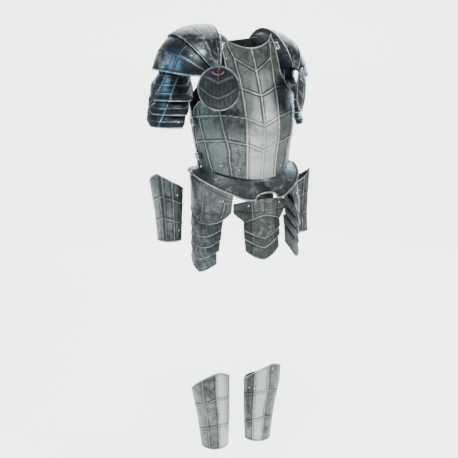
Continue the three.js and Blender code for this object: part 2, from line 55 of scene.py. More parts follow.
PLATE = 2.0
LEATHER = 3.0
SLIP = 1.0

TRUNK = table(
    "z side front back",
    (-520, 180, 148, 122),
    (-450, 157, 124, 112),
    (-370, 160, 128, 114),
    (-286, 174, 136, 128),
    (-197, 178, 116, 134),
    (-124, 170, 88, 126),
    (-53, 150, 56, 104),
    (0, 125, 25, 78),
    (40, 105, 5, 55),
)
FOREARM = table(
    "z out aft side depth",
    (-660, 247, 39, 37, 39),
    (-560, 243, 50, 43, 45),
    (-420, 243, 65, 57, 60),
)
SHIN = table(
    "z out aft side depth",
    (-1440, 83, 33, 46, 48),
    (-1300, 89, 34, 57, 59),
    (-1200, 99, 35, 67, 68),
    (-1110, 101, 36, 69, 70),
)
STANCE = 13
HIP = {"side": 190, "depth": 150, "sway": 13}
LOIN = {"side": 125, "depth": 90, "forward": 51}
DOME = {
    "out": 110, "aft": 70, "z": -95, "wide": 158, "left_wide": 148,
    "high": 127, "inner": 140, "fore": 168, "rear": 115,
}
DOME_TIP = 136
DOME_DROOP = 27
DOME_FLARE = 12

BREAST_LEVELS = table(
    "middle rise flank",
    (-440, 4, 36),
    (-351, 24, 10),
    (-272, 24, 8),
    (-183, 23, 2),
    (-110, 38, 4),
)
NECKLINE = {"middle": -40, "high": 40, "reach": 46}
FLANK_SPAN = 68
BREAST_REACH = table(
    "z reach panel",
    (0, 88, 19),
    (2.2, 88, 19.5),
    (2.5, 76, 19.5),
    (2.75, 54, 20),
    (3, 42, 20),
    (3.5, 35, 21),
    (4, 38, 25),
    (5, 46, 33),
)
PANEL_SHARE = 0.25
BACK_TOP = -8
BACK_HEM = -404

FAULD_RIM = table(
    "z height",
    (0, -497),
    (20, -495),
    (31, -481),
    (47, -461),
    (69, -434),
    (90, -414),
    (135, -418),
    (180, -424),
)
FAULD = {"side": 197, "front": 160, "back": 140, "waning": 14, "tuck": 24, "straight": 0.3}
ARCH = {"half": 13, "high": 23}

ARM_LAMES = table(
    "top low fore top_side top_depth side depth out aft",
    (-103, -200, 8, 61, 69, 86, 93, 187, 84),
    (-184, -243, 1, 75, 84, 89, 96, 191, 87),
    (-227, -282, -6, 80, 88, 91, 97, 194, 88),
)
ARM_LAME_BACK = -152
ARM_LAME_LAP = 17
ARM_LAME_LIFT = 32
ARM_LAME_CORNER = {"turn": 11, "rise": 42}

SIDE_TASSET = table(
    "middle low wide narrow rise power",
    (-72, -581, 37, 33, 42, 2.8),
    (-77, -626, 30, 28, 34, 2.2),
    (-77, -662, 28, 27, 36, 2.2),
    (-79, -701, 28, 27, 38, 1.5),
    (-80, -745, 24, 25, 38, 1.5),
)
CENTRE_TASSET = table(
    "middle low wide narrow rise power",
    (0, -553, 50, 31, -19, 1.2),
    (0, -629, 33, 33, 32, 1.3),
    (0, -660, 33, 32, 35, 1.3),
    (0, -699, 32, 30, 34, 1.6),
)
CENTRE_TOP = {"middle": -499, "fall": 14}
TASSET_LAP = 17
RIM_GAP = 8
RIM_INSET = 10
RIM_TURN = {"low": -536, "high": -447}
ROUNDEL = {"out": 152, "fore": 122, "z": -155, "radius": 66, "crown": 9, "facing": 44}
BRACER = {"middle": -75, "half": 122, "crest": -57, "peak": -420, "fall": 62, "low": -642}
GREAVE = {"middle": -5, "half": 100, "crest": -3, "peak": -1120, "fall": 78, "low": -1426}

LEVEL = {"inward": 0, "down": 0}
LOW_SHOULDER = {"inward": 12, "down": 12}
NEAR_SHIN = {"inward": 7, "down": 0}
LOW_FOREARM = {"inward": 2, "down": 30}

UNDER = -(PLATE + 2.5 * SLIP)
LOOSE = -(PLATE + 4.5 * SLIP)


def mix(a, b, t):
    return a + (b - a) * t


def ramp(value, start, span):
    """0 up to start, 1 from start + span on. A negative span runs the other way."""
    return np.clip((value - start) / span, 0, 1)


def hump(value, middle, half):
    """1 at the middle, fading out on both sides."""
    return np.exp(-(((value - middle) / half) ** 2))


def along(table, column, z):
    """Smooth value of one named column of a table, at each height z."""
    rows = sorted(table, key=lambda row: row["z"])
    zs = np.array([row["z"] for row in rows], float)
    values = np.array([row[column] for row in rows], float)
    z = np.asarray(z, float)
    i = np.clip(np.searchsorted(zs, z) - 1, 0, len(zs) - 2)
    before = np.maximum(i - 1, 0)
    after = np.minimum(i + 2, len(zs) - 1)
    span = zs[i + 1] - zs[i]
    t = ramp(z, zs[i], span)
    slope_a = (values[i + 1] - values[before]) / (zs[i + 1] - zs[before]) * span
    slope_b = (values[after] - values[i]) / (zs[after] - zs[i]) * span
    t2, t3 = t * t, t * t * t
    start = (2 * t3 - 3 * t2 + 1) * values[i] + (t3 - 2 * t2 + t) * slope_a
    return start + (3 * t2 - 2 * t3) * values[i + 1] + (t3 - t2) * slope_b


def between(table, column, z):
    return np.interp(z, [row["z"] for row in table], [row[column] for row in table])


def ellipse(angle, side, fore, rear, out, aft, z):
    turn = np.radians(angle)
    depth = np.where(np.cos(turn) > 0, fore, rear)
    parts = np.broadcast_arrays(out + side * np.sin(turn), aft - depth * np.cos(turn), z)
    return np.stack(parts, -1).astype(float)


def trunk(angle, z):
    side, front, back = (along(TRUNK, column, z) for column in ("side", "front", "back"))
    return ellipse(angle, side, front, back, 0, 0, z)


def limb(table, angle, z, aft_shift=0):
    side, depth, out, aft = (along(table, column, z) for column in ("side", "depth", "out", "aft"))
    return ellipse(angle, side, depth, depth, -out, aft + aft_shift, z)


def dome(side):
    def surface(turn, sweep):
        t, s = np.radians(turn), np.radians(sweep)
        outer = DOME["wide"] if side > 0 else DOME["left_wide"]
        wide = np.where(turn > 0, outer, DOME["inner"])
        flare = 1 + (DOME_FLARE / DOME["wide"]) * np.maximum(0, (turn - 60) / 35) ** 2
        reach = np.where(s > 0, DOME["fore"], DOME["rear"])
        to_tip = np.where(s > 0, np.sin(s) ** 2, 0)
        return np.stack([
            -mix(DOME["out"], DOME_TIP, to_tip) - wide * flare * np.sin(t) * np.cos(s),
            DOME["aft"] - reach * np.sin(s),
            DOME["z"] + DOME["high"] * np.cos(t) * np.cos(s) - DOME_DROOP * to_tip,
        ], -1)
    return surface


def breast_height(level, angle):
    turn = np.abs(np.asarray(angle, float))
    heights = [
        row["middle"] + row["rise"] * np.minimum(turn / 20, 1) ** 1.15
        + row["flank"] * np.maximum(0, (turn - 20) / FLANK_SPAN)
        for row in BREAST_LEVELS
    ]
    heights.append(NECKLINE["middle"] + NECKLINE["high"] * (turn / NECKLINE["reach"]) ** 1.8)
    heights = np.stack(heights)
    level = np.broadcast_to(np.asarray(level, float), turn.shape)
    i = np.clip(np.floor(level), 0, len(heights) - 2).astype(int)
    lower = np.take_along_axis(heights, i[None], 0)[0]
    upper = np.take_along_axis(heights, i[None] + 1, 0)[0]
    return mix(lower, upper, level - i)


def breast_angle(column, level):
    reach = between(BREAST_REACH, "reach", level)
    panel = between(BREAST_REACH, "panel", level)
    share = np.abs(column)
    on_panel = panel * (share / PANEL_SHARE)
    beyond = panel + (reach - panel) * ((share - PANEL_SHARE) / (1 - PANEL_SHARE))
    return np.sign(column) * np.where(share < PANEL_SHARE, on_panel, beyond)


def fauld_rim(angle):
    turn = np.abs((np.asarray(angle, float) + 180) % 360 - 180)
    arch = ARCH["high"] * np.sqrt(np.clip(1 - (turn / ARCH["half"]) ** 2, 0, 1))
    return along(FAULD_RIM, "height", turn) + arch


def fauld_reach(angle, inset):
    waning = ramp(np.abs(np.sin(np.radians(angle / 2))), math.sqrt(0.5), 0.2)
    side = FAULD["side"] - FAULD["waning"] * waning - inset
    return ellipse(angle, side, FAULD["front"] - inset, FAULD["back"] - inset, 0, 0, 0)


def fauld_surface(hem):
    def surface(angle, rise):
        fall = 1 - rise
        straight = FAULD["straight"]
        top = hem(angle) + mix(FAULD["tuck"], -3, fall / straight)
        below = mix(hem(angle) - 3, fauld_rim(angle), (fall - straight) / (1 - straight))
        height = np.where(fall < straight, top, below)
        flare = np.maximum(0, (fall - straight) / (1 - straight)) ** 1.25
        start = trunk(angle, np.maximum(height, hem(angle) - 3))
        spread = mix(start, fauld_reach(angle, 0), flare[..., None])
        return np.stack([spread[..., 0], spread[..., 1], height], -1)
    return surface


def hips(side, angle, z, inset=0.0):
    turn = ramp(z, RIM_TURN["low"], RIM_TURN["high"] - RIM_TURN["low"])
    under = fauld_reach(angle, RIM_INSET + inset)
    under[..., 2] = z
    hip = ellipse(angle, HIP["side"], HIP["depth"], HIP["depth"], side * HIP["sway"], 0, z)
    return mix(hip, under, turn[..., None])


def low_edge(row, angle):
    away = np.minimum(np.abs(angle - row["middle"]) / row["narrow"], 1)
    return row["low"] + row["rise"] * away ** row["power"]


# ---- Meshes ----

MARKS = ("wear", "grime", "pits", "tone")


def scaled(points, millimetres):
    """(angle, height) places on a plate's flat chart, in millimetres."""
    return [(s * millimetres, t) for s, t in points]


def gap(s, t, points):
    """Distance from each place (s, t) on a flat chart, in millimetres, to a broken line."""
    best = np.full(np.shape(s), 1e9)
    for (s0, t0), (s1, t1) in zip(points, points[1:]):
        ds, dt = s1 - s0, t1 - t0
        share = np.clip(((s - s0) * ds + (t - t0) * dt) / (ds * ds + dt * dt), 0, 1)
        best = np.minimum(best, np.hypot(s - s0 - share * ds, t - t0 - share * dt))
    return best


# Raised lines: half width and height in millimetres, brightness of the crest and darkness
# of the recess beside it, which is dirt and painted shade.
RIDGES = {
    "breast centre": (2.9, 2.5, 0.62, 0.5),
    "breast upright": (2.9, 2.5, 0.62, 1.0),
    "breast V": (2.5, 2.1, 0.62, 1.0),
    "back": (3.4, 2.4, 0.8, 0.8),
    "dome lip": (1.5, 0.7, 0.35, 0),
    "dome cross": (2.3, 1.6, 0.55, 0.8),
    "dome low": (2.2, 1.5, 0.4, 0.8),
    "lame level": (2.2, 1.3, 0.5, 0.5),
    "lame upright": (2.8, 2.2, 0.9, 0.7),
    "roundel upper": (3.4, 2.2, 0.30, 0.9),
    "roundel lower": (3.4, 2.2, 0.24, 0.9),
    "roundel stem": (3.0, 1.8, 0.24, 0.8),
    "roundel upper rib": (3.0, 1.5, 0.06, 0.7),
    "roundel lower rib": (3.0, 1.5, 0.05, 0.7),
    "bracer": (2.5, 2.0, 0.42, 1.0),
    "tasset rim": (2.0, 1.2, 0.5, 0.7),
    "tasset lame": (2.2, 1.4, 0.35, 0.8),
    "tasset facet": (2.6, 1.6, 0.35, 0.7),
    "tasset front": (2.6, 1.6, 0.5, 0.8),
    "centre panel": (2.4, 1.8, 0.45, 0.9),
    "greave": (2.4, 1.8, 0.35, 1.0),
}

# Sunk lines: half width and depth in millimetres, and darkness, which is dirt and painted shade.
GROOVES = {
    "dome": (1.6, 1.2, 0.9),
    "dome cross": (1.7, 1.2, 0.9),
    "tasset lame": (1.5, 0.8, 0.8),
    "tasset": (2.0, 1.0, 0.9),
    "centre upright": (1.6, 1.0, 1.0),
    "centre level": (1.8, 1.0, 0.9),
}


class Relief:
    """Height, bright crests, dark recesses (dirt and painted shade), pitting and tone over one plate."""

    def __init__(self, shape, tone=0.5, pits=0.3):
        self.height = np.zeros(shape)
        self.wear = np.zeros(shape)
        self.grime = np.zeros(shape)
        self.pits = np.full(shape, float(pits))
        self.tone = np.full(shape, float(tone))

    def ridge(self, distance, kind, fade=1.0):
        """A rounded ridge along the line whose distance is given, with a dark recess beside it, painted
        as dirt and shade.
        """
        half, height, wear, grime = RIDGES[kind]
        self.height = np.maximum(self.height, fade * height * hump(distance, 0, half))
        crest = wear * hump(distance, 0, 0.42 * half)
        recess = grime * hump(distance, 1.75 * half, half)
        self.wear = np.maximum(self.wear, fade * crest)
        self.grime = np.maximum(self.grime, fade * recess)

    def lines(self, s, t, lines, millimetres, kind):
        """A ridge of one kind along each of some named lines."""
        for line in lines.values():
            self.ridge(gap(s, t, scaled(line, millimetres)), kind)

    def groove(self, distance, kind, fade=1.0):
        """A sunk line, darkened with dirt and painted shade."""
        half, depth, grime = GROOVES[kind]
        cut = hump(distance, 0, half)
        self.height -= fade * depth * cut
        self.grime = np.maximum(self.grime, fade * grime * cut)


def length_along(points, axis):
    """Millimetres from the first row or column of a grid, and from its last one."""
    steps = np.linalg.norm(np.diff(points, axis=axis), axis=-1)
    start = np.cumsum(np.insert(steps, 0, 0, axis=axis), axis=axis)
    end = np.take(start, [-1], axis=axis) - start
    return start, end


def sheet_part(surface, us, vs, relief=None, thickness=PLATE, lift=0.0, rims=(0, 0, 0, 0),
               soft=0.0, wrap=False, rivets=(), chart=None, tone=0.5, pits=0.3, rubbed=0.75):
    """A closed wall over a grid of a surface. u and v run so that u x v points outward.

    rims: radius of the rolled edge at the start and end of u, then of v; 0 leaves it plain.
    soft: how far a leather edge is rounded. rivets: places on the chart.
    rubbed: how bright the rolled edges are.
    """
    u, v = np.meshgrid(us, vs)
    points = surface(u, v)
    across = np.gradient(points, axis=1)
    if wrap:
        across = np.roll(points, -1, axis=1) - np.roll(points, 1, axis=1)
    normal = np.cross(across, np.gradient(points, axis=0))
    normal /= np.maximum(np.linalg.norm(normal, axis=-1, keepdims=True), 1e-9)
    marks = relief(u, v, points) if relief else Relief(u.shape, tone, pits)
    raised, sunk = marks.height + lift, marks.height + lift - thickness
    ends = [*length_along(points, 1), *length_along(points, 0)]
    for distance, radius in zip(ends, rims):
        if radius:
            roll = radius * np.sqrt(np.clip(1 - ((distance - radius) / radius) ** 2, 0, 1))
            roll = np.where(distance < 2 * radius, roll, 0)
            raised = raised + roll
            sunk = sunk - 0.15 * roll
            marks.wear = np.maximum(marks.wear, rubbed * hump(distance, radius, radius))
            # Beside each rolled edge the plate is darkened: dirt and painted shade under the roll.
            recess = hump(distance, 3.2 * radius, 1.3 * radius)
            marks.grime = np.maximum(marks.grime * (distance > 2 * radius), 0.9 * recess)
        elif soft:
            inset = np.clip(1 - distance / soft, 0, 1)
            raised = raised - soft * 0.7 * (1 - np.sqrt(1 - inset ** 2))
    outer = points + normal * raised[..., None]
    inner = points + normal * sunk[..., None]
    rows, columns = u.shape
    number = np.arange(rows * columns).reshape(rows, columns)
    right = np.roll(number, -1, axis=1) if wrap else number[:, 1:]
    left = number if wrap else number[:, :-1]
    face = np.stack([left[:-1], right[:-1], right[1:], left[1:]], -1).reshape(-1, 4)
    last = rows * columns
    walls = [face, last + face[:, ::-1]]
    low, high = np.stack([left[0], right[0]], -1), np.stack([right[-1], left[-1]], -1)
    borders = [low, high]
    if not wrap:
        borders.append(np.stack([number[1:, 0], number[:-1, 0]], -1))
        borders.append(np.stack([number[:-1, -1], number[1:, -1]], -1))
    edge = np.concatenate(borders)
    walls.append(np.stack([last + edge[:, 0], last + edge[:, 1], edge[:, 1], edge[:, 0]], -1))
    faces = np.concatenate(walls)
    smooth = np.ones(len(faces), bool)
    smooth[len(faces) - len(edge):] = False
    inside = {"wear": 0.0, "grime": 0.6, "pits": 0.5, "tone": 0.25}
    part = {
        "points": np.concatenate([outer.reshape(-1, 3), inner.reshape(-1, 3)]),
        "faces": faces,
        "smooth": smooth,
        "material": np.zeros(len(faces), int),
    }
    for mark in MARKS:
        shown = getattr(marks, mark).ravel()
        part[mark] = np.concatenate([shown, np.full(last, inside[mark])])
    if len(rivets):
        s, t = chart(u, v, points)
        for place in rivets:
            near = np.argmin((s - place[0]) ** 2 + (t - place[1]) ** 2)
            size = place[2] if len(place) > 2 else 2.6
            part = joined(part, rivet(outer.reshape(-1, 3)[near], normal.reshape(-1, 3)[near], size))
    return part


def loose_part(points, faces, tone=0.5, material=0, wear=0.4):
    count = len(points)
    return {
        "points": np.array(points, float),
        "faces": np.array(faces, int),
        "smooth": np.ones(len(faces), bool),
        "material": np.full(len(faces), material),
        "wear": np.full(count, wear),
        "grime": np.zeros(count),
        "pits": np.full(count, 0.1),
        "tone": np.full(count, tone),
    }


def joined(*parts):
    out = {key: value.copy() for key, value in parts[0].items()}
    for part in parts[1:]:
        shift = len(out["points"])
        for key in out:
            extra = part[key] + shift if key == "faces" else part[key]
            out[key] = np.concatenate([out[key], extra])
    return out


def axes_across(direction):
    """Two directions square to the given one and to each other."""
    direction = direction / np.linalg.norm(direction)
    helper = np.array([0.0, 0.0, 1.0]) if abs(direction[2]) < 0.9 else np.array([1.0, 0.0, 0.0])
    first = np.cross(helper, direction)
    first /= np.linalg.norm(first)
    return first, np.cross(direction, first)


def tube_faces(rings, sides, closed=False):
    """Faces between the rings of a tube, each ring to the next."""
    faces = []
    for i in range(rings if closed else rings - 1):
        for k in range(sides):
            n, j = (k + 1) % sides, (i + 1) % rings
            faces.append([i * sides + k, i * sides + n, j * sides + n, j * sides + k])
    return faces


def cap(start, sides):
    """Faces across the ring that begins at a point's number, facing along the tube."""
    return [
        [start + k - 1, start + k, start + sides - 1 - k, start + sides - k]
        for k in range(1, sides // 2)
    ]


def turned(faces):
    return [face[::-1] for face in faces]


def rivet(place, normal, radius=2.6, sides=10):
    """A domed rivet head, sunk a little into the plate."""
    first, second = axes_across(normal)
    points = []
    rings = [(1.0, -0.3), (0.95, 0.22), (0.7, 0.5), (0.35, 0.66)]
    for width, height in rings:
        for k in range(sides):
            turn = 2 * math.pi * k / sides
            spoke = math.cos(turn) * first + math.sin(turn) * second
            points.append(place + radius * (width * spoke + height * normal))
    top = (len(rings) - 1) * sides
    faces = tube_faces(len(rings), sides) + cap(top, sides) + turned(cap(0, sides))
    return loose_part(points, faces, tone=0.9, material=1, wear=0.9)


def rod(path, radius, closed=False, sides=10, flat=1.0, material=0, tone=0.6):
    """A rod of round section along a path. flat squeezes the section across its second axis."""
    path = np.array(path, float)
    if closed:
        heading = np.roll(path, -1, axis=0) - np.roll(path, 1, axis=0)
    else:
        heading = np.gradient(path, axis=0)
    points = []
    first, second = axes_across(heading[0])
    for place, direction in zip(path, heading):
        direction = direction / np.linalg.norm(direction)
        first = first - direction * np.dot(first, direction)
        first /= np.linalg.norm(first)
        second = np.cross(direction, first)
        for k in range(sides):
            turn = 2 * math.pi * k / sides
            points.append(place + radius * (math.cos(turn) * first + flat * math.sin(turn) * second))
    faces = tube_faces(len(path), sides, closed)
    if not closed:
        faces += turned(cap(0, sides)) + cap((len(path) - 1) * sides, sides)
    return loose_part(points, faces, tone=tone, material=material)


def mirrored(part, shift):
    copy = {key: value.copy() for key, value in part.items()}
    copy["points"] = part["points"] * (-1, 1, 1) - (shift["inward"], 0, shift["down"])
    copy["faces"] = part["faces"][:, ::-1]
    return copy


def show(node, part, look):
    """Makes the mesh, in metres, and lets it stand for the CAD node."""
    materials, slot = looks[look]
    mesh = bpy.data.meshes.new(node + "_shown")
    points, faces = part["points"] * 0.001, part["faces"]
    mesh.vertices.add(len(points))
    mesh.vertices.foreach_set("co", points.ravel())
    mesh.loops.add(faces.size)
    mesh.loops.foreach_set("vertex_index", faces.ravel())
    mesh.polygons.add(len(faces))
    mesh.polygons.foreach_set("loop_start", np.arange(0, faces.size, 4))
    mesh.polygons.foreach_set("use_smooth", part["smooth"])
    mesh.polygons.foreach_set("material_index", part["material"])
    mesh.update(calc_edges=True)
    mesh.validate()
    for mark in MARKS:
        mesh.attributes.new(mark, "FLOAT", "POINT").data.foreach_set("value", part[mark])
    for material in materials:
        mesh.materials.append(material)
    piece = bpy.data.objects.new(node + "_shown", mesh)
    bpy.context.scene.collection.objects.link(piece)
    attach(piece, "root")
    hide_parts(node)
    return piece


def show_pair(node, build, look, shift=LEVEL):
    show(node + "_right", build(1), look)
    show(node + "_left", mirrored(build(-1), shift), look)


def steps(start, end, count, crowd=0.0):
    """Positions from start to end. crowd pulls them toward both ends."""
    t = np.linspace(0, 1, count)
    eased = t - crowd * np.sin(2 * np.pi * t) / (2 * np.pi)
    return mix(start, end, eased)


# ---- Materials ----


class Look:
    """A new material, with short calls that add nodes to its tree."""

    def __init__(self, name):
        self.material = bpy.data.materials.new(name)
        self.material.use_nodes = True
        self.tree = self.material.node_tree
        self.inputs = self.tree.nodes["Principled BSDF"].inputs
        self.place = self.node("ShaderNodeTexCoord").outputs["Object"]

    def put(self, socket, value):
        """Sets an input, or links it to another node."""
        if isinstance(value, bpy.types.NodeSocket):
            self.tree.links.new(value, socket)
        else:
            socket.default_value = value

    def node(self, kind, inputs=(), **settings):
        made = self.tree.nodes.new(kind)
        for key, value in settings.items():
            setattr(made, key, value)
        for key, value in dict(inputs).items():
            self.put(made.inputs[key], value)
        return made

    def math(self, operation, a, b=0.0, clamp=True):
        inputs = {0: a, 1: b}
        return self.node("ShaderNodeMath", inputs, operation=operation, use_clamp=clamp).outputs[0]

    def add(self, a, b):
        return self.math("ADD", a, b)

    def times(self, a, b):
        return self.math("MULTIPLY", a, b)

    def less(self, a, b):
        return self.math("SUBTRACT", a, b)

    def ranged(self, value, low, high, to_low=0.0, to_high=1.0):
        inputs = {
            "Value": value, "From Min": low, "From Max": high, "To Min": to_low, "To Max": to_high,
        }
        return self.node("ShaderNodeMapRange", inputs).outputs[0]

    def blended(self, factor, a, b):
        return self.node("ShaderNodeMix", {0: factor, 6: a, 7: b}, data_type="RGBA").outputs[2]

    def noise(self, scale, detail=4.0, rough=0.6):
        inputs = {"Vector": self.place, "Scale": scale, "Detail": detail, "Roughness": rough}
        return self.node("ShaderNodeTexNoise", inputs).outputs[0]

    def mark(self, name):
        """One of the marks that the mesh carries."""
        settings = {"attribute_name": name, "attribute_type": "GEOMETRY"}
        return self.node("ShaderNodeAttribute", **settings).outputs["Fac"]

    def finish(self, inputs, height, strength, distance):
        """Sets the shader's inputs and its bumps, and gives the material."""
        inputs = dict(inputs)
        bumps = {"Height": height, "Strength": strength, "Distance": distance}
        inputs["Normal"] = self.node("ShaderNodeBump", bumps).outputs[0]
        for key, value in inputs.items():
            self.put(self.inputs[key], value)
        return self.material


def colour(red, green, blue):
    return (red, green, blue, 1.0)


# The dark of dirt and painted shade, laid into recesses.
SOOT_AND_SHADE = colour(0.012, 0.014, 0.016)


def steel(row):
    """Worn plate: tone and pitting vary with the marks on the mesh and with noise."""
    look = Look(row["name"])
    dark, middle, bright, edge = (colour(*row[key]) for key in ("dark", "middle", "bright", "edge"))
    pits = look.mark("pits")
    broad = look.noise(11, 3)
    patch = look.noise(28, 3)
    fine = look.noise(75, 5, 0.65)
    speck = look.noise(240, 4, 0.7)
    blotch = look.ranged(look.noise(42, 6, 0.75), 0.38, 0.62, 0.0, 0.62)
    wide_swing = look.ranged(broad, 0.3, 0.7, 0.0, 0.28)
    swing = look.add(wide_swing, look.ranged(fine, 0.3, 0.7, 0.0, 0.22))
    swing = look.add(swing, look.times(blotch, pits))
    clean = look.add(look.times(pits, 0.31), 0.25)
    level = look.less(look.add(look.mark("tone"), swing), clean)
    low = look.blended(look.ranged(level, 0.0, 0.5), dark, middle)
    base = look.blended(look.ranged(level, 0.5, 1.0), low, bright)
    pitted = look.times(look.ranged(speck, 0.52, 0.62), pits)
    base = look.blended(look.times(pitted, 0.75), base, dark)
    mottle = look.ranged(fine, 0.36, 0.6, 0.35, 1.0)
    mottle = look.add(mottle, look.ranged(speck, 0.45, 0.6, 0.0, 0.3))
    # The recess mark darkens the colour: dirt and painted shade in recesses, grooves and under
    # overlapping edges.
    dirt_and_shade = look.times(look.mark("grime"), mottle)
    base = look.blended(look.times(dirt_and_shade, 0.85), base, SOOT_AND_SHADE)
    uneven = look.ranged(fine, 0.3, 0.6, 0.4, 1.0)
    uneven = look.times(uneven, look.ranged(patch, 0.35, 0.62, 0.3, 1.0))
    base = look.blended(look.times(look.mark("wear"), uneven), base, edge)
    rough = look.ranged(fine, 0.3, 0.7, row["rough"] - 0.08, row["rough"] + 0.1)
    rough = look.add(rough, look.times(dirt_and_shade, 0.3))
    lumps = look.add(look.times(broad, 0.5), look.times(fine, 0.35))
    height = look.less(lumps, look.times(pitted, 0.25))
    inputs = {"Base Color": base, "Metallic": row["metallic"], "Roughness": rough}
    return look.finish(inputs, height, 0.35, 0.004)


def leather(name, dark, light):
    look = Look(name)
    base = look.blended(look.ranged(look.noise(40, 3), 0.35, 0.7), dark, light)
    return look.finish({"Base Color": base, "Roughness": 0.55}, look.noise(400, 3), 0.3, 0.001)


def plain_metal(name, base, rough):
    look = Look(name)
    inputs = {"Base Color": base, "Metallic": 0.9, "Roughness": rough}
    return look.finish(inputs, look.noise(300), 0.2, 0.001)


# The steels: from dark to bright as the tone rises, and the colour of a rubbed edge.
STEELS = table(
    "look slot name dark middle bright edge rough metallic",
    ("plate", "plate_steel", "plate steel", (0.013, 0.017, 0.017), (0.115, 0.140, 0.134),
     (0.72, 0.78, 0.74), (0.66, 0.72, 0.70), 0.38, 0.8),
    ("greave", "plate_steel", "greave steel", (0.016, 0.020, 0.018), (0.135, 0.158, 0.146),
     (0.82, 0.87, 0.84), (0.66, 0.72, 0.69), 0.40, 0.75),
    ("tasset", "plate_steel", "tasset steel", (0.010, 0.013, 0.013), (0.066, 0.080, 0.076),
     (0.42, 0.47, 0.45), (0.48, 0.53, 0.51), 0.42, 0.8),
    ("fauld", "dark_plate_steel", "fauld steel", (0.009, 0.012, 0.012), (0.034, 0.043, 0.043),
     (0.36, 0.40, 0.39), (0.58, 0.62, 0.60), 0.42, 0.8),
    ("shoulder", "dark_plate_steel", "dark plate steel", (0.007, 0.010, 0.014),
     (0.038, 0.050, 0.060), (0.80, 0.88, 0.92), (0.48, 0.55, 0.59), 0.34, 0.85),
    ("roundel", "dark_plate_steel", "roundel steel", (0.010, 0.012, 0.012),
     (0.036, 0.043, 0.042), (0.24, 0.27, 0.26), (0.36, 0.41, 0.40), 0.42, 0.8),
)
steels = {row["look"]: steel(row) for row in STEELS}
rivet_steel = plain_metal("rivet steel", colour(0.55, 0.58, 0.57), 0.3)
bright_steel = plain_metal("buckle steel", colour(0.7, 0.73, 0.74), 0.25)
black_leather = leather("black leather", colour(0.006, 0.007, 0.009), colour(0.02, 0.022, 0.026))
red_leather = leather("red-brown leather", colour(0.09, 0.022, 0.018), colour(0.24, 0.075, 0.06))

# What each kind of piece is made of: its main material, its second one and its slot.
looks = {row["look"]: ([steels[row["look"]], rivet_steel], row["slot"]) for row in STEELS}
looks["strap"] = ([black_leather, bright_steel], "strap_leather")
looks["thong"] = ([red_leather, bright_steel], "thong_leather")
looks["buckle"] = ([bright_steel], "buckle_steel")

# ---- Breastplate ----

BREAST_MM = 2.75  # millimetres of arc to a degree, on the breast's chart

# Embossed lines of the right half: (angle to the right, height).
BREAST_LINES = {
    "centre": [(0, -440), (0, -44)],
    "panel": [(34, -23), (25, -70), (20.5, -135), (19.5, -234), (19.5, -303), (18.6, -440)],
    "top V": [(0, -110), (25, -70)],
    "second V": [(0, -183), (20.5, -159), (31, -157)],
    "third V": [(0, -272), (19.5, -248), (38, -238), (56, -239), (76, -244), (90, -248)],
    "fourth V": [(0, -351), (19.5, -327), (44, -313), (70, -318), (90, -325)],
    "outer flank": [(78, -215), (74.5, -272), (71, -317), (68, -375), (62, -425)],
    "inner flank": [(47, -222), (45, -276), (42.6, -309), (40, -343), (39.5, -386), (37, -425)],
}
BREAST_KINDS = {
    "centre": "breast centre",
    "panel": "breast upright",
    "outer flank": "breast upright",
    "inner flank": "breast upright",
}
BREAST_RIMS = (1.6, 1.6, 0, 2.2)
BREAST_RIVETS = [
    (51, -395), (29, -408), (10, -420), (-11, -416), (-30, -404), (-51, -395),
    (45, -13), (37.7, -27), (34.9, -72),
]


def chart_of(millimetres):
    def chart(u, v, points):
        return u * millimetres, points[..., 2]
    return chart


def breast_surface(column, level):
    angle = breast_angle(column, level)
    return trunk(angle, breast_height(level, angle))


def breast_chart(column, level, points):
    return -breast_angle(column, level) * BREAST_MM, points[..., 2]


def breast_relief(column, level, points):
    s, t = breast_chart(column, level, points)
    side = np.abs(s)
    marks = Relief(column.shape)
    on_panel = ramp(side, 21 * BREAST_MM + 3, -6)
    # Painted light, partly polish: the tone rises toward the bottom, most on the centre panel's half on
    # the wearer's left and on a patch of each flank.
    low = ramp(t, -150, -150)
    lit = np.where(s < 0, 0.92, 0.74)
    marks.tone = mix(mix(0.24, 0.44, low), mix(0.24, lit, low ** 1.5), on_panel)
    marks.tone = marks.tone + 0.30 * hump(s, -34 * BREAST_MM, 30) * low
    marks.tone = marks.tone + 0.22 * hump(s, 66 * BREAST_MM, 26) * low
    marks.pits = mix(0.45 + 0.5 * low, 0.2, on_panel)
    for name, line in BREAST_LINES.items():
        kind = BREAST_KINDS.get(name, "breast V")
        marks.ridge(gap(side, t, scaled(line, BREAST_MM)), kind)
    return marks


breast = sheet_part(
    breast_surface, steps(-1, 1, 221, 0.25), steps(0, 5, 201, 0.3), breast_relief,
    rims=BREAST_RIMS, rivets=scaled(BREAST_RIVETS, BREAST_MM), chart=breast_chart,
)
show("breastplate", breast, "plate")


def back_surface(column, level):
    angle = 180 + column * (between(BREAST_REACH, "reach", level) - 1)
    dip = 12 * (1 - np.abs(column)) * (level / 5) ** 2
    return trunk(angle, mix(BACK_HEM, BACK_TOP, level / 5) - dip)


def back_relief(column, level, points):
    marks = Relief(column.shape, tone=0.45, pits=0.4)
    marks.ridge(np.abs(points[..., 0]), "back")
    return marks


back = sheet_part(
    back_surface, steps(-1, 1, 91, 0.3), steps(0, 5, 91, 0.3), back_relief, rims=BREAST_RIMS,
)
show("backplate", back, "plate")

# ---- Straps and buckles of the trunk ----


def strap_part(surface, us, vs, lift=0.0):
    return sheet_part(surface, us, vs, thickness=LEATHER, lift=lift, soft=1.4)


def shoulder_strap(side):
    def surface(across, run):
        turn = mix(40, 29, across)
        start = trunk(-turn, breast_height(np.full_like(turn, 5.0), turn))
        end = trunk(180 + turn, np.full_like(turn, BACK_TOP))
        point = mix(start, end, run[..., None])
        point[..., 2] += 14 * np.sin(np.pi * run)
        return point
    return strap_part(surface, steps(0, 1, 13), steps(0.06, 0.94, 41))


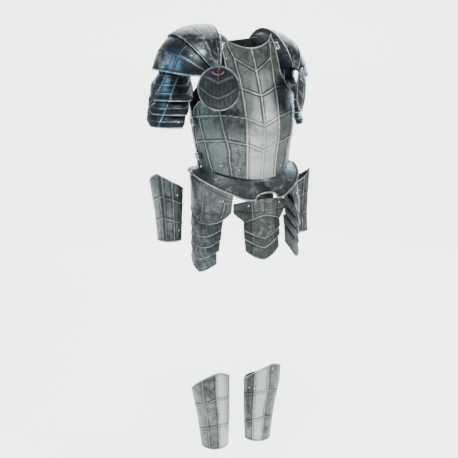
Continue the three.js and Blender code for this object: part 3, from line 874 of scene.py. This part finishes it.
show_pair("shoulder_strap", shoulder_strap, "strap")


def lifted(surface, u, v, lift, step=0.5):
    """One point above a surface, and the direction there."""
    def at(du, dv):
        return surface(np.array([[u + du]]), np.array([[v + dv]]))[0, 0]
    normal = np.cross(at(step, 0) - at(-step, 0), at(0, step) - at(0, -step))
    normal /= np.linalg.norm(normal)
    return at(0, 0) + normal * lift, normal


def frame_path(surface, u_range, v_range, lift, count=6):
    """The middle line of a rectangular buckle frame on a surface."""
    (u0, u1), (v0, v1) = u_range, v_range
    corners = [(u0, v0), (u1, v0), (u1, v1), (u0, v1)]
    path = []
    for (a, b), (c, d) in zip(corners, corners[1:] + corners[:1]):
        for k in range(count):
            share = (k + 0.5) / count
            path.append(lifted(surface, mix(a, c, share), mix(b, d, share), lift)[0])
    return path


def shoulder_buckle(side):
    lift = 2.5 + SLIP + 1.5
    outline = rod(frame_path(trunk, (-49.4, -40.6), (-47, -27), lift), 1.6, closed=True, tone=0.8)
    prong = rod([lifted(trunk, -45, z, lift + 1)[0] for z in np.linspace(-47, -27, 5)], 1.0, tone=0.8)
    return joined(outline, prong)


show_pair("shoulder_buckle", shoulder_buckle, "buckle")

SIDE_STRAP = {"half": 10, "fore": 82, "rear": 100}
SIDE_STRAP_HEIGHTS = {"upper": -262, "lower": -370}


def side_strap(height):
    def build(side):
        lift = LEATHER + 2 * SLIP
        band = strap_part(
            trunk, steps(-SIDE_STRAP["rear"], -SIDE_STRAP["fore"], 25),
            steps(height - SIDE_STRAP["half"], height + SIDE_STRAP["half"], 9), lift,
        )
        loop = frame_path(trunk, (-92, -87), (height - 12, height + 12), lift + 1)
        metal = rod(loop, 1.3, closed=True, material=1)
        return joined(band, metal)
    return build


for place, height in SIDE_STRAP_HEIGHTS.items():
    show_pair("side_strap_" + place, side_strap(height), "strap")

# ---- Fauld ----


def fauld_relief(angle, rise, points):
    marks = Relief(angle.shape, tone=0.42, pits=0.4)
    bright_patch = hump(angle, 22, 16) * ramp(rise, 0.95, -0.2) * ramp(rise, 0.2, 0.2)
    marks.pits = np.maximum(marks.pits, bright_patch)
    marks.tone = marks.tone + 0.42 * bright_patch
    return marks


def fauld_front_surface(angle, rise):
    return fauld_surface(lambda turn: breast_height(np.zeros_like(turn), turn))(angle, rise)


def fauld_back_surface(angle, rise):
    return fauld_surface(lambda turn: np.full_like(turn, BACK_HEM))(angle, rise)


FAULD_RIMS = (1.4, 1.4, 2.4, 0)
front_angles = np.concatenate([
    steps(-88, -ARCH["half"] - 0.4, 80, 0.3),
    steps(-ARCH["half"], ARCH["half"], 41, 0.9),
    steps(ARCH["half"] + 0.4, 88, 80, 0.3),
])
fauld_front = sheet_part(
    fauld_front_surface, front_angles, steps(0, 1, 61, 0.5), fauld_relief,
    lift=UNDER, rims=FAULD_RIMS,
)
show("fauld_front", fauld_front, "fauld")
fauld_back = sheet_part(
    fauld_back_surface, steps(93, 267, 81, 0.3), steps(0, 1, 37, 0.5), fauld_relief,
    lift=UNDER, rims=FAULD_RIMS,
)
show("fauld_back", fauld_back, "fauld")

# ---- Shoulders ----

DOME_NECK = {1: -10, -1: 5}  # the neck edge of the right and left shoulder
DOME_SPLIT = 42
DOME_RIM = 95
DOME_MM = {"turn": 2.4, "sweep": 2.7}  # millimetres to a degree where the dome is widest


def dome_chart(turn, sweep, points=None):
    return turn * DOME_MM["turn"] * np.cos(np.radians(sweep)), sweep * DOME_MM["sweep"]


def turn_gap(turn, sweep, line):
    return np.abs(turn - line) * DOME_MM["turn"] * np.cos(np.radians(sweep))


def sweep_gap(sweep, line):
    return np.abs(sweep - line) * DOME_MM["sweep"]


def upper_relief(turn, sweep, points):
    marks = Relief(turn.shape, pits=0.08)
    # Painted highlight: the tone rises to a bright patch at the top of the dome, standing in for the top
    # light's sheen.
    crown = hump(turn, 8, 15) * hump(sweep, 14, 20)
    marks.tone = 0.48 + 0.95 * crown
    marks.groove(turn_gap(turn, sweep, 19), "dome")
    marks.ridge(turn_gap(turn, sweep, 17), "dome lip")
    marks.groove(turn_gap(turn, sweep, 0), "dome")
    marks.groove(sweep_gap(sweep, 33 - 0.08 * turn), "dome cross")
    return marks


def pauldron_upper(side):
    return sheet_part(
        dome(side), steps(DOME_NECK[side], DOME_SPLIT, 81, 0.4), steps(-70, 76, 131),
        upper_relief, rims=(1.5, 1.8, 0, 0), rivets=[dome_chart(28, 16)], chart=dome_chart,
    )


def lower_relief(turn, sweep, points):
    marks = Relief(turn.shape, pits=0.12)
    marks.tone = 0.44 - 0.22 * ramp(sweep, 10, 50) + 0.10 * ramp(turn, 66, 4)
    past_step = ramp(turn, DOME_SPLIT + 2, 3)
    marks.ridge(sweep_gap(sweep, 34), "dome cross", past_step)
    marks.ridge(turn_gap(turn, sweep, 66), "dome low")
    # Painted highlight: a brighter stretch of the lower ridge, put into the wear mark where the ridge
    # catches the light most.
    bright_patch = hump(sweep, 46, 8) * hump(turn_gap(turn, sweep, 64), 0, 3.5)
    marks.wear = np.maximum(marks.wear, 0.8 * bright_patch)
    # Painted shadow: a dark band just past the step, under the upper plate's overlapping edge.
    marks.grime = np.maximum(marks.grime, hump(turn, DOME_SPLIT + 1.5, 2.2))
    return marks


def pauldron_lower(side):
    return sheet_part(
        dome(side), steps(DOME_SPLIT - 6, DOME_RIM, 81, 0.4), steps(-70, 76, 131),
        lower_relief, lift=UNDER, rims=(0, 2.4, 0, 0), rivets=[dome_chart(54, 48)], chart=dome_chart,
    )


show_pair("pauldron_upper", pauldron_upper, "shoulder", LOW_SHOULDER)
show_pair("pauldron_lower", pauldron_lower, "shoulder", LOW_SHOULDER)

# ---- Upper arms ----

LAME_MM = 1.6
LAME_LINES = {
    "outer": [(-56, -95), (-61, -111), (-75, -166), (-84, -194), (-99, -241), (-114, -285)],
    "inner": [(-24, -112), (-34, -148), (-43, -191), (-52, -233), (-63, -275)],
}
LAME_LEVELS = [[-124, -152, -176], [-221], [-262]]


def lame_rise(angle):
    """How much higher the lames sit toward the back of the arm."""
    return ARM_LAME_LIFT * ramp(angle, -86, -40)


def arm_lame(row, levels, first):
    def surface(angle, run):
        rise = lame_rise(angle)
        front = ramp(angle, row["fore"] - ARM_LAME_CORNER["turn"], ARM_LAME_CORNER["turn"])
        low = row["low"] + rise + ARM_LAME_CORNER["rise"] * front ** 2
        top = row["top"] + (0 if first else rise)
        z = mix(low, top, run)
        foot = row["low"] + rise + ARM_LAME_LAP
        narrowing = ramp(z, foot, top - ARM_LAME_LAP - foot)
        side = mix(row["side"], row["top_side"], narrowing)
        depth = mix(row["depth"], row["top_depth"], narrowing)
        return ellipse(angle, side, depth, depth, -row["out"], row["aft"], z)

    def relief(angle, run, points):
        s, t = angle * LAME_MM, points[..., 2]
        marks = Relief(angle.shape, pits=0.25)
        # Painted light: the tone rises toward the outer, rear side, standing in for the blue rim light
        # there.
        marks.tone = 0.30 + 0.22 * ramp(angle, -60, -40)
        curl = 26 * ramp(angle, -14, 17) ** 2
        for level in levels:
            marks.ridge(np.abs(t - level - lame_rise(angle) - curl), "lame level")
        marks.lines(s, t, LAME_LINES, LAME_MM, "lame upright")
        return marks

    def build(side):
        fore = row["fore"]
        angles = np.concatenate([
            steps(ARM_LAME_BACK, fore - 12, 70), steps(fore - 11, fore, 14, 0.3),
        ])
        rivets = scaled([(-22, -262)], LAME_MM) if row is ARM_LAMES[-1] else []
        return sheet_part(
            surface, angles, steps(0, 1, 41, 0.4), relief,
            rims=(1.4, 1.6, 2.0, 0), rivets=rivets, chart=chart_of(LAME_MM),
        )
    return build


for i, (row, levels) in enumerate(zip(ARM_LAMES, LAME_LEVELS)):
    show_pair(f"arm_lame_{i + 1}", arm_lame(row, levels, i == 0), "shoulder", LOW_SHOULDER)


def arm_strap(side):
    def surface(angle, z):
        reach = np.where(np.sin(np.radians(angle)) > 0, 2, 70)
        return ellipse(angle, reach, 74, 74, -190, 87, z)
    return strap_part(surface, steps(-20, 200, 61), steps(-222, -200, 7))


show_pair("arm_strap", arm_strap, "strap", LOW_SHOULDER)

# ---- Roundels ----

# Lines of the raised figure, as (distance to either side, height), and the lower and upper
# ends of its ribs.
ROUNDEL_LINES = {
    "roundel upper": [(0, 16), (30, 30), (46, 34)],
    "roundel lower": [(0, -28), (26, -18), (56, 2)],
    "roundel stem": [(0, 20), (0, 52)],
}
ROUNDEL_RIBS = {"roundel upper rib": (-14, 12), "roundel lower rib": (-52, -32)}
ROUNDEL_RIB_PLACES = (12, 24, 38)


def on_roundel(points):
    """From the roundel's own frame (across, up, outward) to the suit's."""
    facing = math.radians(-ROUNDEL["facing"])
    outward = np.array([math.sin(facing), -math.cos(facing), 0])
    across = np.array([math.cos(facing), math.sin(facing), 0])
    points = np.asarray(points, float)
    middle = np.array([-ROUNDEL["out"], -ROUNDEL["fore"], ROUNDEL["z"]])
    up = np.array([0.0, 0.0, 1.0])
    return middle + points[..., 0:1] * across + points[..., 1:2] * up + points[..., 2:3] * outward


def roundel_flat(turn, share):
    radius = ROUNDEL["radius"] * (1 - share)
    return radius * np.cos(np.radians(turn)), radius * np.sin(np.radians(turn)), radius


def roundel(side):
    def surface(turn, share):
        x, y, radius = roundel_flat(turn, share)
        crown = ROUNDEL["crown"] * (1 - (radius / ROUNDEL["radius"]) ** 2)
        return on_roundel(np.stack([x, y, crown], -1))

    def relief(turn, share, points):
        x, y, radius = roundel_flat(turn, share)
        marks = Relief(turn.shape, tone=0.34, pits=0.4)
        side_x = np.abs(x)
        inside = ramp(radius, 58, -4)
        for kind, line in ROUNDEL_LINES.items():
            marks.ridge(gap(side_x, y, line), kind, inside)
        for place in ROUNDEL_RIB_PLACES:
            for kind, (low, high) in ROUNDEL_RIBS.items():
                rib = [(place, low + place / 3), (place, high + place / 3)]
                marks.ridge(gap(side_x, y, rib), kind, inside)
        return marks

    return sheet_part(
        surface, np.arange(0, 360, 1.8), steps(0, 0.995, 61, 0.3), relief, rims=(0, 0, 2.4, 0), wrap=True,
    )


show_pair("roundel", roundel, "roundel", LOW_SHOULDER)


def roundel_thong(side):
    def smile(turn):
        return (17 * math.cos(turn), 49 + 9 * math.sin(turn), 8.5)
    loop = rod(on_roundel([smile(a) for a in np.linspace(math.pi, 2 * math.pi, 13)]), 2.6, flat=0.6)
    tail = rod(on_roundel([(4, 56, 8), (2, 63, 7), (-2, 68, 7.5), (-4, 74, 8.5)]), 2.2, flat=0.6)
    return joined(loop, tail)


show_pair("roundel_thong", roundel_thong, "thong", LOW_SHOULDER)

# ---- Forearms ----

BRACER_MM = 0.85
BRACER_LINES = {
    "band, rear side": [(-56, -420), (-58, -642)],
    "band, fore side": [(-41, -425), (-42, -642)],
    "fore ridge": [(-9, -446), (-3, -642)],
    "rear ridge": [(-112, -440), (-114, -642)],
    "upper V": [(62, -533), (-5, -507), (-46, -494), (-112, -519), (-190, -535)],
    "lower V": [(62, -590), (21, -580), (-8, -572), (-50, -562), (-92, -578), (-190, -594)],
}
BRACER_RIVETS = [(12, -491), (23, -607)]


def bracer(side):
    def surface(angle, run):
        top = BRACER["peak"] - BRACER["fall"] * np.abs(angle - BRACER["crest"]) / BRACER["half"]
        return limb(FOREARM, angle, mix(BRACER["low"], top, run))

    def relief(angle, run, points):
        s, t = angle * BRACER_MM, points[..., 2]
        marks = Relief(angle.shape, pits=0.45)
        marks.tone = mix(0.52, 0.26, ramp(angle, -60, 6))
        marks.lines(s, t, BRACER_LINES, BRACER_MM, "bracer")
        return marks

    start, end = BRACER["middle"] - BRACER["half"], BRACER["middle"] + BRACER["half"]
    return sheet_part(
        surface, steps(start, end, 91, 0.3), steps(0, 1, 91, 0.3), relief, rims=(1.4, 1.4, 2.0, 1.6),
        rivets=scaled(BRACER_RIVETS, BRACER_MM), chart=chart_of(BRACER_MM),
    )


show_pair("bracer", bracer, "plate", LOW_FOREARM)

BRACER_STRAPS = {"half": 9, "angles": steps(30, 180, 41), "upper": -505, "lower": -615}
GREAVE_STRAPS = {"half": 10, "angles": steps(60, 276, 61), "upper": -1215, "lower": -1375}


def limb_strap(table, straps, place, stance=0):
    def build(side):
        return strap_part(
            lambda angle, z: limb(table, angle, z, side * stance), straps["angles"],
            steps(straps[place] - straps["half"], straps[place] + straps["half"], 7), LOOSE,
        )
    return build


for place in ("upper", "lower"):
    strap = limb_strap(FOREARM, BRACER_STRAPS, place)
    show_pair("bracer_strap_" + place, strap, "strap", LOW_FOREARM)

# ---- Tassets ----

TUCK = PLATE + 3 * SLIP
LAME_FADE = 0.75  # share of a lower lame's height over which its lines fade out
TASSET_RIMS = (1.2, 1.2, 1.6, 0)
TASSET_RUBBED = 0.5
SIDE_MM = 3.0
CENTRE_MM = 1.9
SIDE_RIVETS = [(-46, -502)]

# Lines of the top side lame, as (angle, height), and of the others, as (angle, height above
# the lower edge).
SIDE_BAND = 17  # width of the band along the top edge
SIDE_FACET = [(-67, -450), (-78, -585)]
SIDE_LEVEL = [(-110, -543), (-74, -541), (-64, -549), (-52, -543)]
SIDE_FRONT = [(-44, -505), (-50, -556)]
LAME_OUTER = [(-86, 60), (-78, 0)]
LAME_FACET = [(-58, 36), (-62, -10)]

CENTRE_RIVETS = [(-25, -517), (29, -517)]
CENTRE_EDGE = [(21, -495), (19, -553), (18, -610), (17, -700)]  # of the middle panel
CENTRE_LEVEL = [(-52, -532), (0, -541), (52, -538)]


def tuck_of(run, first):
    return np.zeros_like(run) if first else -TUCK * ramp(run, 0.15, 0.6)


def side_tasset(row, above):
    def place(share, run):
        angle = row["middle"] + share * mix(row["narrow"], row["wide"], run)
        low = row["low"] + row["rise"] * np.abs(share) ** row["power"]
        top = low_edge(above, angle) + TASSET_LAP if above else fauld_rim(angle) - RIM_GAP
        return angle, mix(low, top, run), low, top

    def chart(share, run, points):
        return place(share, run)[0] * SIDE_MM, points[..., 2]

    def relief(share, run, points):
        angle, z, low, top = place(share, run)
        s, t = angle * SIDE_MM, z
        marks = Relief(share.shape, pits=0.35)
        marks.tone = mix(0.56, 0.46, ramp(angle, -64, 3))
        if above:
            fade = ramp(run, LAME_FADE, -LAME_FADE)
            marks.groove(gap(s, t - low, scaled(LAME_OUTER, SIDE_MM)), "tasset lame", fade)
            marks.ridge(gap(s, t - low, scaled(LAME_FACET, SIDE_MM)), "tasset lame", fade)
        else:
            marks.ridge(np.abs(top - z - SIDE_BAND), "tasset rim")
            marks.ridge(gap(s, t, scaled(SIDE_FACET, SIDE_MM)), "tasset facet")
            marks.groove(gap(s, t, scaled(SIDE_LEVEL, SIDE_MM)), "tasset")
            marks.ridge(gap(s, t, scaled(SIDE_FRONT, SIDE_MM)), "tasset front")
        marks.height = marks.height + tuck_of(run, not above)
        return marks

    def build(side):
        def surface(share, run):
            angle, z, low, top = place(share, run)
            return hips(side, angle, z)
        return sheet_part(
            surface, steps(-1, 1, 81), steps(0, 1, 31 if above else 61, 0.3), relief,
            rims=TASSET_RIMS, rubbed=TASSET_RUBBED, chart=chart,
            rivets=[] if above else scaled(SIDE_RIVETS, SIDE_MM),
        )
    return build


for number, row in enumerate(SIDE_TASSET):
    above = SIDE_TASSET[number - 1] if number else None
    show_pair(f"side_tasset_{number + 1}", side_tasset(row, above), "tasset")


def centre_tasset(row, above):
    def place(share, run):
        taper = run if above else np.minimum(run / 0.5, 1)
        angle = share * mix(row["narrow"], row["wide"], taper)
        low = row["low"] + row["rise"] * np.abs(share) ** row["power"]
        top = CENTRE_TOP["middle"] - CENTRE_TOP["fall"] * share ** 2
        if above:
            top = low_edge(above, angle) + TASSET_LAP
        return angle, mix(low, top, run)

    def surface(share, run):
        angle, z = place(share, run)
        return ellipse(angle, LOIN["side"], LOIN["depth"], LOIN["depth"], 0, -LOIN["forward"], z)

    def chart(share, run, points):
        return place(share, run)[0] * CENTRE_MM, points[..., 2]

    def relief(share, run, points):
        s, t = chart(share, run, points)
        marks = Relief(share.shape, tone=0.26, pits=0.5)
        fade = ramp(run, LAME_FADE, -LAME_FADE) if above else 1.0
        marks.groove(np.abs(s), "centre upright", fade)
        marks.ridge(gap(np.abs(s), t, scaled(CENTRE_EDGE, CENTRE_MM)), "centre panel", fade)
        # Painted light: the middle panel is made brighter, standing in for the bright streak of light
        # down it.
        marks.tone = marks.tone + 0.26 * ramp(np.abs(s), 20 * CENTRE_MM, -6)
        if not above:
            marks.groove(gap(s, t, scaled(CENTRE_LEVEL, CENTRE_MM)), "centre level")
        marks.height = marks.height + tuck_of(run, not above)
        return marks

    return sheet_part(
        surface, steps(-1, 1, 81), steps(0, 1, 31, 0.3), relief,
        rims=TASSET_RIMS, rubbed=TASSET_RUBBED, chart=chart,
        rivets=[] if above else scaled(CENTRE_RIVETS, CENTRE_MM),
    )


for number, row in enumerate(CENTRE_TASSET):
    above = CENTRE_TASSET[number - 1] if number else None
    show(f"centre_tasset_{number + 1}", centre_tasset(row, above), "tasset")


def side_hanger(side):
    def surface(angle, z):
        return hips(side, angle, z, 36 * ramp(z, -450, 38))
    return strap_part(surface, steps(-87, -67, 11), steps(-520, -412, 31), -(TUCK + SLIP))


def centre_hanger():
    def surface(angle, z):
        depth = LOIN["depth"] - 22 * ramp(z, -492, 46)
        return ellipse(angle, LOIN["side"], depth, depth, 0, -LOIN["forward"], z)
    return strap_part(surface, steps(-19, 19, 15), steps(-530, -430, 31), -(TUCK + SLIP))


show_pair("side_hanger", side_hanger, "strap")
show("centre_hanger", centre_hanger(), "strap")

# ---- Lower legs ----

GREAVE_MM = 1.05
GREAVE_FRONT = {1: -10, -1: 8}  # the front ridge of the right and left greave
GREAVE_RIVETS = [(-5, -1143), (50, -1212), (-66, -1378), (67, -1387), (58, -1374), (67, -1216)]


def greave_lines(front):
    return {
        "outer ridge": [(-50, -1140), (-50, -1430)],
        "front ridge": [(front, -1118), (front, -1430)],
        "inner ridge": [(50, -1140), (50, -1430)],
        "upper line": [(-110, -1263), (-61, -1245), (front, -1219), (50, -1233), (95, -1250)],
        "lower line": [(-110, -1360), (-50, -1340), (front, -1326), (45, -1340), (95, -1360)],
    }


def greave(side):
    def surface(angle, run):
        away = np.abs(angle - GREAVE["crest"]) / GREAVE["half"]
        top = GREAVE["peak"] - GREAVE["fall"] * away ** 1.5
        return limb(SHIN, angle, mix(GREAVE["low"], top, run), side * STANCE)

    def relief(angle, run, points):
        s, t = angle * GREAVE_MM, points[..., 2]
        marks = Relief(angle.shape, pits=0.45)
        front = GREAVE_FRONT[side]
        # Painted light: the panel between the front and inner ridges is made much brighter, standing in
        # for light falling on it.
        marks.tone = 0.24 + 0.76 * ramp(angle, front, 3) * ramp(angle, 50, -3)
        marks.lines(s, t, greave_lines(front), GREAVE_MM, "greave")
        return marks

    start, end = GREAVE["middle"] - GREAVE["half"], GREAVE["middle"] + GREAVE["half"]
    return sheet_part(
        surface, steps(start, end, 85, 0.3), steps(0, 1, 111, 0.3), relief, rims=(1.4, 1.4, 2.0, 2.0),
        rivets=scaled(GREAVE_RIVETS, GREAVE_MM), chart=chart_of(GREAVE_MM),
    )


show_pair("greave", greave, "greave", NEAR_SHIN)

for place in ("upper", "lower"):
    strap = limb_strap(SHIN, GREAVE_STRAPS, place, STANCE)
    show_pair("greave_strap_" + place, strap, "strap", NEAR_SHIN)

# ---- Studio ----


STUDIO = {
    "floor": -1.6, "front": -6.0, "back": 4.5, "bend": 1.5, "top": 5.0, "half": 9.0, "turn": -29,
}
BEND_STEPS = 12
GLOW = {"full": 2.2, "gone": 3.6, "strength": 3.0}  # fades out to both sides


def studio():
    """A pale floor that curves up into a pale backdrop."""
    floor, back, bend = STUDIO["floor"], STUDIO["back"], STUDIO["bend"]
    profile = [(STUDIO["front"], floor)]
    for k in range(BEND_STEPS + 1):
        turn = math.radians(90 * k / BEND_STEPS)
        profile.append((back - bend + bend * math.sin(turn), floor + bend - bend * math.cos(turn)))
    profile.append((back, STUDIO["top"]))
    turned = Euler((0, 0, math.radians(STUDIO["turn"]))).to_matrix()
    ends = (-STUDIO["half"], STUDIO["half"])
    points = [turned @ Vector((x, y, z)) for y, z in profile for x in ends]
    faces = [(2 * k, 2 * k + 1, 2 * k + 3, 2 * k + 2) for k in range(len(profile) - 1)]
    mesh = bpy.data.meshes.new("studio")
    mesh.from_pydata(points, [], faces)
    mesh.polygons.foreach_set("use_smooth", [True] * len(faces))
    pale = Look("pale backdrop")
    across = turned @ Vector((1, 0, 0))
    aside = pale.node("ShaderNodeVectorMath", {0: pale.place, 1: across}, operation="DOT_PRODUCT")
    aside = pale.math("ABSOLUTE", aside.outputs["Value"], clamp=False)
    glow = pale.ranged(aside, GLOW["full"], GLOW["gone"], GLOW["strength"], 0.0)
    inputs = {
        "Base Color": colour(0.8, 0.8, 0.8), "Roughness": 0.9,
        "Emission Color": colour(1.0, 1.0, 1.0), "Emission Strength": glow,
    }
    for key, value in inputs.items():
        pale.put(pale.inputs[key], value)
    mesh.materials.append(pale.material)
    backdrop = bpy.data.objects.new("studio", mesh)
    bpy.context.scene.collection.objects.link(backdrop)


studio()

# Area lights: place and aim, size in metres, power in watts and colour.
LIGHTS = table(
    "name place aim size power colour",
    ("key", (1.9, -2.7, 1.1), (0, 0, -0.6), 1.3, 130, (1.0, 0.99, 0.96)),
    ("top", (-0.8, -1.1, 2.3), (-0.2, 0, -0.1), 1.0, 100, (0.97, 0.99, 1.0)),
    ("left rim", (-3.0, 0.5, 1.3), (-0.3, 0, -0.1), 1.3, 90, (0.52, 0.76, 1.0)),
    ("right rim", (2.6, 1.6, 0.3), (0, 0, -0.5), 1.4, 70, (0.45, 0.72, 1.0)),
)
for light in LIGHTS:
    lamp = bpy.data.lights.new(light["name"], "AREA")
    lamp.shape = "DISK"
    lamp.size = light["size"]
    lamp.energy = light["power"]
    lamp.color = light["colour"]
    shown = bpy.data.objects.new(light["name"], lamp)
    shown.location = light["place"]
    aim = Vector(light["aim"]) - Vector(light["place"])
    shown.rotation_euler = aim.to_track_quat("-Z", "Y").to_euler()
    bpy.context.scene.collection.objects.link(shown)

world = bpy.data.worlds.new("studio light")
world.use_nodes = True
sky = world.node_tree.nodes["Background"]
sky.inputs["Color"].default_value = colour(0.92, 0.96, 1.0)
sky.inputs["Strength"].default_value = 0.12
bpy.context.scene.world = world

CAMERA = {"place": (-1.2, -2.0785, 0.0), "down": 14.7, "turn": -28.95, "sensor": 36.0, "lens": 58.4}
camera_data = bpy.data.cameras.new("camera")
camera_data.sensor_width = CAMERA["sensor"]
camera_data.lens = CAMERA["lens"]
camera_data.dof.use_dof = False
camera = bpy.data.objects.new("camera", camera_data)
camera.location = CAMERA["place"]
camera.rotation_euler = (math.radians(90 - CAMERA["down"]), 0, math.radians(CAMERA["turn"]))
bpy.context.scene.collection.objects.link(camera)
bpy.context.scene.camera = camera
